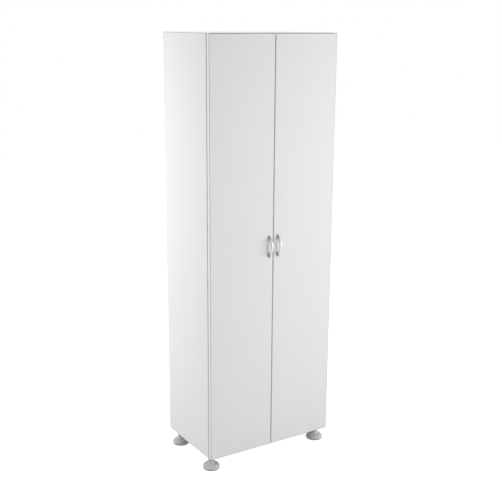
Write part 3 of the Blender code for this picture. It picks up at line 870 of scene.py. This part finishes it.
for (label, side), (level, end) in product(SIDES.items(), (("lower", -1), ("upper", 1))):
    bm = bmesh.new()
    stamp_screw(bm, (0, 0, 0), (0, 1, 0), 0.004, 0.0042)
    stamp(bm, lathe(shank, 20, TO_BACK))
    place = (side * handle_x, door_back_y + contact_gap, handle_z + end * handle_hole_spacing / 2)
    place_piece(bm, f"handle_screw_{label}_{level}", [zinc_plate], place)
print("handle screws", round(shank_length * 1000, 1), "mm under the head")

# %% [markdown]
# ## Flat sheet pieces
# Plates, ears, tongues and links are cut from sheet. One helper raises a flat outline to a plate and eases its
# edges, and another first turns an outline's sharp corners into small arcs.

# %% Sheet helpers
def plate(bm, outline, thickness, ease=0.0003):
    """A flat sheet: the outline's points raised by the thickness vector, with eased edges."""
    sheet_bm = bmesh.new()
    face = sheet_bm.faces.new([sheet_bm.verts.new(point) for point in outline])
    grown = bmesh.ops.extrude_face_region(sheet_bm, geom=[face])
    moved = [item for item in grown["geom"] if isinstance(item, bmesh.types.BMVert)]
    bmesh.ops.translate(sheet_bm, vec=Vector(thickness), verts=moved)
    bmesh.ops.recalc_face_normals(sheet_bm, faces=sheet_bm.faces[:])
    creased = [edge for edge in sheet_bm.edges if edge.calc_face_angle(0) > math.radians(50)]
    bmesh.ops.bevel(sheet_bm, geom=creased, offset=ease, segments=2, profile=0.5, affect="EDGES")
    stamp(bm, sheet_bm)


def rounded_outline(corners, radius, steps=6):
    """Points round a closed run of (a, b) corners, each corner replaced by a small arc."""
    points = []
    for index, corner in enumerate(corners):
        corner = Vector(corner)
        back = Vector(corners[index - 1]) - corner
        forth = Vector(corners[(index + 1) % len(corners)]) - corner
        reach = min(radius, back.length * 0.49, forth.length * 0.49)
        start, stop = corner + back.normalized() * reach, corner + forth.normalized() * reach
        for step in range(steps + 1):
            share = step / steps
            points.append((1 - share) ** 2 * start + 2 * share * (1 - share) * corner + share**2 * stop)
    return points


HINGES = [
    (f"{label}_{level}", side, height)
    for (label, side), (level, height) in product(SIDES.items(), hinge_heights.items())
]
print("hinges:", [ending for ending, side, height in HINGES])

# %% [markdown]
# ## Hinge cups
# A pressed steel cup sits in the door's pocket, with a rim on the door's back and two screwed ears. The cup is
# a thin shell, so the lathe profile goes down the outside and up the inside. A pin across the cup holds the
# link's far eye.

# %% Cups
sheet_steel = 0.001
cup_pivot = Vector((0.01, -0.005))  # inwards from the side panel's outer face, back from its front edge
door_gap = 0.002
pin_radius, cup_pin_half = 0.00125, 0.0104
rim_radius = 0.019
floor_y, rim_y = contact_gap - cup_depth, contact_gap + sheet_steel
bore = cup_radius - sheet_steel
cup_profile = [(0, floor_y), (cup_radius - 0.0012, floor_y), (cup_radius - 0.0004, floor_y + 0.0004)]
cup_profile += [(cup_radius, floor_y + 0.0012), (cup_radius, contact_gap), (rim_radius - 0.0002, contact_gap)]
cup_profile += [(rim_radius, contact_gap + 0.0002), (rim_radius, rim_y - 0.0003), (rim_radius - 0.0003, rim_y)]
cup_profile += [(bore + 0.0003, rim_y), (bore, rim_y - 0.0003), (bore, floor_y + 0.0018)]
cup_profile += [(bore - 0.0008, floor_y + sheet_steel), (0, floor_y + sheet_steel)]
ear = [(0.0035, 0.0165), (0.008, 0.0152), (0.0155, 0.0095), (0.0155, 0.028), (0.0035, 0.028)]
ear_screw = (0.0095, 0.0225)

for ending, side, height in HINGES:
    bm = bmesh.new()
    stamp(bm, lathe(cup_profile, 72, TO_BACK))
    for end in (-1, 1):
        flat = [(-side * inward, contact_gap, end * reach) for inward, reach in rounded_outline(ear, 0.0035)]
        plate(bm, flat, (0, sheet_steel, 0))
        screw_place = (-side * ear_screw[0], rim_y - 0.0001, end * ear_screw[1])
        stamp_screw(bm, screw_place, (0, 1, 0), 0.0035, 0.0017)
    pin_x, pin_y = side * (cup_inset - cup_pivot.x), cup_pivot.y + door_gap
    add_cylinder(bm, (pin_x, pin_y, -cup_pin_half), (pin_x, pin_y, cup_pin_half), pin_radius)
    place_piece(bm, f"hinge_cup_{ending}", [hinge_nickel], (side * (outer_x - cup_inset), door_back_y, height))
print("hinge cups:", len(HINGES))

# %% [markdown]
# ## Hinge arms
# The arm is a bent channel over a screwed plate. Its forked tip holds the pin that the link turns on, and two
# screws on its back adjust the door. Seen from above it is one outline, raised to the arm's height, and a block
# cuts the fork. Outlines are (inwards, back) from the front edge of the side panel's inner face.

# %% Arms
link_half = 0.005  # half the link's height
arm_pivot = Vector((0.013, -0.0015))
tip_radius, tip_steps = 0.00275, 16
cheek, fork_play = 0.0018, 0.0003
plate_thickness = 0.002
arm_back = [(0.01575, 0.005), (0.01555, 0.0072), (0.0108, 0.0205), (0.0103, 0.0225), (0.0103, 0.0605)]
arm_back += [(0.0093, 0.0618), (0.0016, 0.0618), (0.0016, 0.031), (0.0019, 0.0295), (0.01, 0.0055)]
half_foot = [(0.029, 0.008), (0.031, 0.008), (0.031, 0.023), (0.043, 0.023), (0.043, 0.008), (0.065, 0.008)]
foot = [(back, -rise) for back, rise in half_foot] + half_foot[::-1]

arm_outline = []
for step in range(tip_steps + 1):
    angle = math.pi + math.pi * step / tip_steps
    arm_outline.append((arm_pivot.x + tip_radius * math.cos(angle), arm_pivot.y + tip_radius * math.sin(angle)))
arm_outline += arm_back

for ending, side, height in HINGES:
    half = link_half + cheek
    channel = bmesh.new()
    plate(channel, [(-side * inward, back, -half) for inward, back in arm_outline], (0, 0, 2 * half), 0.0007)
    fork = block((-side * arm_pivot.x, arm_pivot.y - 0.0006, 0), (0.012, 0.0067, 2 * (link_half + fork_play)))
    bm = bmesh.new()
    stamp(bm, cut_out(channel, fork))
    pin_x, pin_half = -side * arm_pivot.x, link_half + 0.0011
    add_cylinder(bm, (pin_x, arm_pivot.y, -pin_half), (pin_x, arm_pivot.y, pin_half), pin_radius)
    flat = [(-side * contact_gap, back, rise) for back, rise in rounded_outline(foot, 0.0022, 4)]
    plate(bm, flat, (-side * plate_thickness, 0, 0), 0.0004)
    inwards = (-side, 0, 0)
    for end in (-1, 1):
        stamp_screw(bm, (-side * 0.0022, 0.037, end * 0.016), inwards, 0.0035, 0.0032)
    for back in (0.034, 0.052):
        stamp_screw(bm, (-side * 0.0101, back, 0), inwards, 0.0033, 0.002)
    place_piece(bm, f"hinge_arm_{ending}", [hinge_nickel], (side * inner_x, front_y, height))
print("hinge arms:", len(HINGES))

# %% [markdown]
# ## Hinge links
# The link is a curved strip with a rolled eye at each end. It reaches from the arm's fork round the side
# panel's edge into the cup. The strip's outline follows one arc out and a second one back, a thickness apart.

# %% Links
link_sag, strip_half, arc_steps = 0.0055, 0.0009, 16
eye_bore, eye_radius, eye_ease = 0.00155, 0.00245, 0.0002
eye_profile = [(eye_bore, -link_half), (eye_radius - eye_ease, -link_half), (eye_radius, -link_half + eye_ease)]
eye_profile += [(eye_radius, link_half - eye_ease), (eye_radius - eye_ease, link_half), (eye_bore, link_half)]
eye_profile.append(eye_profile[0])

for ending, side, height in HINGES:
    span = Vector((side * (board_thickness + arm_pivot.x - cup_pivot.x), cup_pivot.y - arm_pivot.y, 0))
    along = span.normalized()
    deeper = Vector((-span.y, span.x, 0)).normalized() * -side
    bend_radius = ((span.length / 2) ** 2 + link_sag**2) / (2 * link_sag)
    outline = []
    for offset, direction in ((strip_half, 1), (-strip_half, -1)):
        for step in range(-arc_steps, arc_steps + 1):
            across, rise = arc_point(span.length / 2, link_sag, direction * step / arc_steps)
            tilt = math.asin(across / bend_radius)
            point = along * (across + offset * math.sin(tilt)) + deeper * (rise + offset * math.cos(tilt))
            outline.append(span / 2 + point - Vector((0, 0, link_half)))
    bm = bmesh.new()
    plate(bm, outline, (0, 0, 2 * link_half))
    for centre in (Vector(), span):
        eye = lathe(eye_profile, 40)
        bmesh.ops.remove_doubles(eye, verts=eye.verts[:], dist=0.00001)
        stamp(bm, eye, at(centre))
    place = (side * (inner_x - arm_pivot.x), front_y + arm_pivot.y, height)
    place_piece(bm, f"hinge_link_{ending}", [hinge_nickel], place)
print("links span", round(span.length * 1000, 2), "mm")

# %% [markdown]
# ## Shelf pins
# A shelf pin is a plug in one of the panel's holes, with a flat rounded tongue that the shelf lies on.

# %% Shelf pins
plug_radius, plug_length, plug_ease = 0.0024, 0.0087, 0.0006
plug_profile = [(0, plug_length), (plug_radius - plug_ease, plug_length), (plug_radius, 0.0078)]
plug_profile += [(plug_radius, 0), (plug_radius, -0.0004), (0, -0.0004)]
tongue_half_width, tongue_length, tongue_half = 0.004, 0.009, 0.001
tongue = [(-tongue_half_width, 0), (tongue_half_width, 0)]
tongue += [(tongue_half_width, tongue_length), (-tongue_half_width, tongue_length)]

for shelf, (label, side), row in product(("lower", "upper"), SIDES.items(), ROWS):
    node = f"shelf_pin_{shelf}_{label}_{row}"
    bm = bmesh.new()
    stamp(bm, lathe(plug_profile, 32, to_side(side)))
    flat = [(-side * reach, across, -tongue_half) for across, reach in rounded_outline(tongue, 0.0022)]
    plate(bm, flat, (0, 0, 2 * tongue_half), 0.0004)
    place = (side * inner_x, centre_of(node).y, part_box(node)[1].z - plug_radius)
    place_piece(bm, node, [zinc_plate], place)
print("shelf pins:", round(1000 * (plug_length + tongue_length), 1), "mm long")

# %% [markdown]
# ## Cam locks
# A cam lock shows as a disc with a cross recess in the board's underside. Its threaded bolt runs inside the
# board's end and holds the side panel.

# %% Cam locks
cam_radius, cam_height, cam_ease = 0.0075, 0.012, 0.0006
cam_profile = [(0, 0), (cam_radius - cam_ease, 0), (cam_radius, cam_ease), (cam_radius, cam_height - cam_ease)]
cam_profile += [(cam_radius - cam_ease, cam_height), (0, cam_height)]
bolt_above_middle = 0.0017
bolt_profile = [(0, -0.001), (0.003, -0.001), (0.003, 0.0337), (0.0025, 0.0338)]
bolt_profile += thread(0.0025, 0.0021, 0.034, 0.011, 20) + [(0, 0.045)]

for level, (label, side), row in product(("top", "bottom"), SIDES.items(), ROWS):
    node = f"cam_lock_{level}_{label}_{row}"
    disc = cross_recess(lathe(cam_profile, 48), 0, 0.0095, 0.0016, 0.006)
    centre = centre_of(node)
    bm = bmesh.new()
    stamp(bm, disc, at((0, 0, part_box(node)[0].z)))
    stamp(bm, lathe(bolt_profile, 24, to_side(side)), at((0, 0, centre.z + bolt_above_middle)))
    place_piece(bm, node, [zinc_plate], (side * lock_x, centre.y, 0))
print("cam locks:", 2 * cam_radius * 1000, "mm across")

# %% [markdown]
# ## Door buffers
# A small soft dome behind the top of each door quiets its closing. Its points are shares of the solid's height.

# %% Buffers
buffer_points = [(0.004, 0), (0.0039, 0.35), (0.0034, 0.7), (0.0024, 0.92), (0.0012, 0.99), (0, 1)]
for label in SIDES:
    node = f"door_buffer_{label}"
    low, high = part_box(node)
    profile = [(0, 0)] + [(radius, share * (high.y - low.y)) for radius, share in buffer_points]
    place = (centre_of(node).x, low.y, centre_of(node).z)
    place_piece(lathe(profile, 40, TO_BACK), node, [buffer_plastic], place, 50)
print("buffers:", round(1000 * (high.y - low.y), 2), "mm high")

# %% [markdown]
# ## Levelling feet
# Each foot is a moulded bell on a threaded stud: a glide pad under a narrow groove, a low rim, a round
# shoulder, a hollow curve up into the neck, and a second groove below the neck's top. It is the solid's profile
# with many more points.

# %% Foot profile
foot_radius, rim_height, pad_height = 0.0365, 0.008, 0.0034
dome_reach, dome_height = 0.018, 0.014
neck_radius, bell_height = 0.0135, 0.036
groove_depth = 0.0007
stud_crest, stud_root, stud_length, stud_steps = 0.004, 0.0036, 0.0172, 29


def bell_points():
    pad_radius = foot_radius - 0.0004
    points = [(0, 0), (foot_radius - 0.0022, 0), (foot_radius - 0.0008, 0.0007), (pad_radius, 0.0014)]
    points += [(pad_radius, pad_height - 0.0003), (foot_radius - 0.0009, pad_height)]
    points += [(foot_radius - 0.0003, pad_height + 0.0003), (foot_radius, pad_height + 0.0008)]
    points.append((foot_radius, rim_height))
    shoulder = foot_radius - dome_reach
    for out, rise in quarter_turn(24):
        points.append((shoulder + dome_reach * out, rim_height + dome_height * rise))
    fillet = shoulder - neck_radius
    for out, rise in quarter_turn(12):
        points.append((shoulder - fillet * rise, rim_height + dome_height + fillet * (1 - out)))
    groove = neck_radius - groove_depth
    points += [(neck_radius, bell_height - 0.003), (groove, bell_height - 0.0026)]
    points += [(groove, bell_height - 0.0018), (neck_radius, bell_height - 0.0014)]
    points += [(neck_radius, bell_height - 0.0005), (neck_radius - 0.0005, bell_height)]
    points.append((stud_crest, bell_height))
    points += thread(stud_crest, stud_root, bell_height + 0.0004, stud_length, stud_steps)
    return points + [(0, bell_height + 0.018)]


# %% [markdown]
# The socket is a moulded flange under the bottom panel with a short sleeve, bored for the stud.

# %% Feet and sockets
body_bottom = 0.06
sleeve_radius, flange_radius, flange_height, socket_bore = 0.012, 0.025, 0.003, 0.0043


def socket_points():
    low, high = bell_height + contact_gap, body_bottom - contact_gap
    bore_top = bell_height + 0.0183
    points = [(0, bore_top), (socket_bore, bore_top), (socket_bore, low), (sleeve_radius - 0.0005, low)]
    points += [(sleeve_radius, low + 0.0005), (sleeve_radius, high - 0.0045), (0.0127, high - 0.0034)]
    points += [(0.014, high - flange_height), (flange_radius - 0.0005, high - flange_height)]
    return points + [(flange_radius, high - 0.0025), (flange_radius, high), (0, high)]


for row, label in product(ROWS, SIDES):
    node = f"levelling_foot_{row}_{label}"
    centre = centre_of(node)
    place = (centre.x, centre.y, 0)
    bell = lathe(bell_points(), 96)
    for face in bell.faces:
        face.material_index = 1 if face.calc_center_median().z < pad_height else 0
    place_piece(bell, node, [silver_grey_plastic, glide_pad], place, 50)
    place_piece(lathe(socket_points(), 64), f"foot_socket_{row}_{label}", [socket_plastic], place)
print("feet: radius", foot_radius, "bell", bell_height)
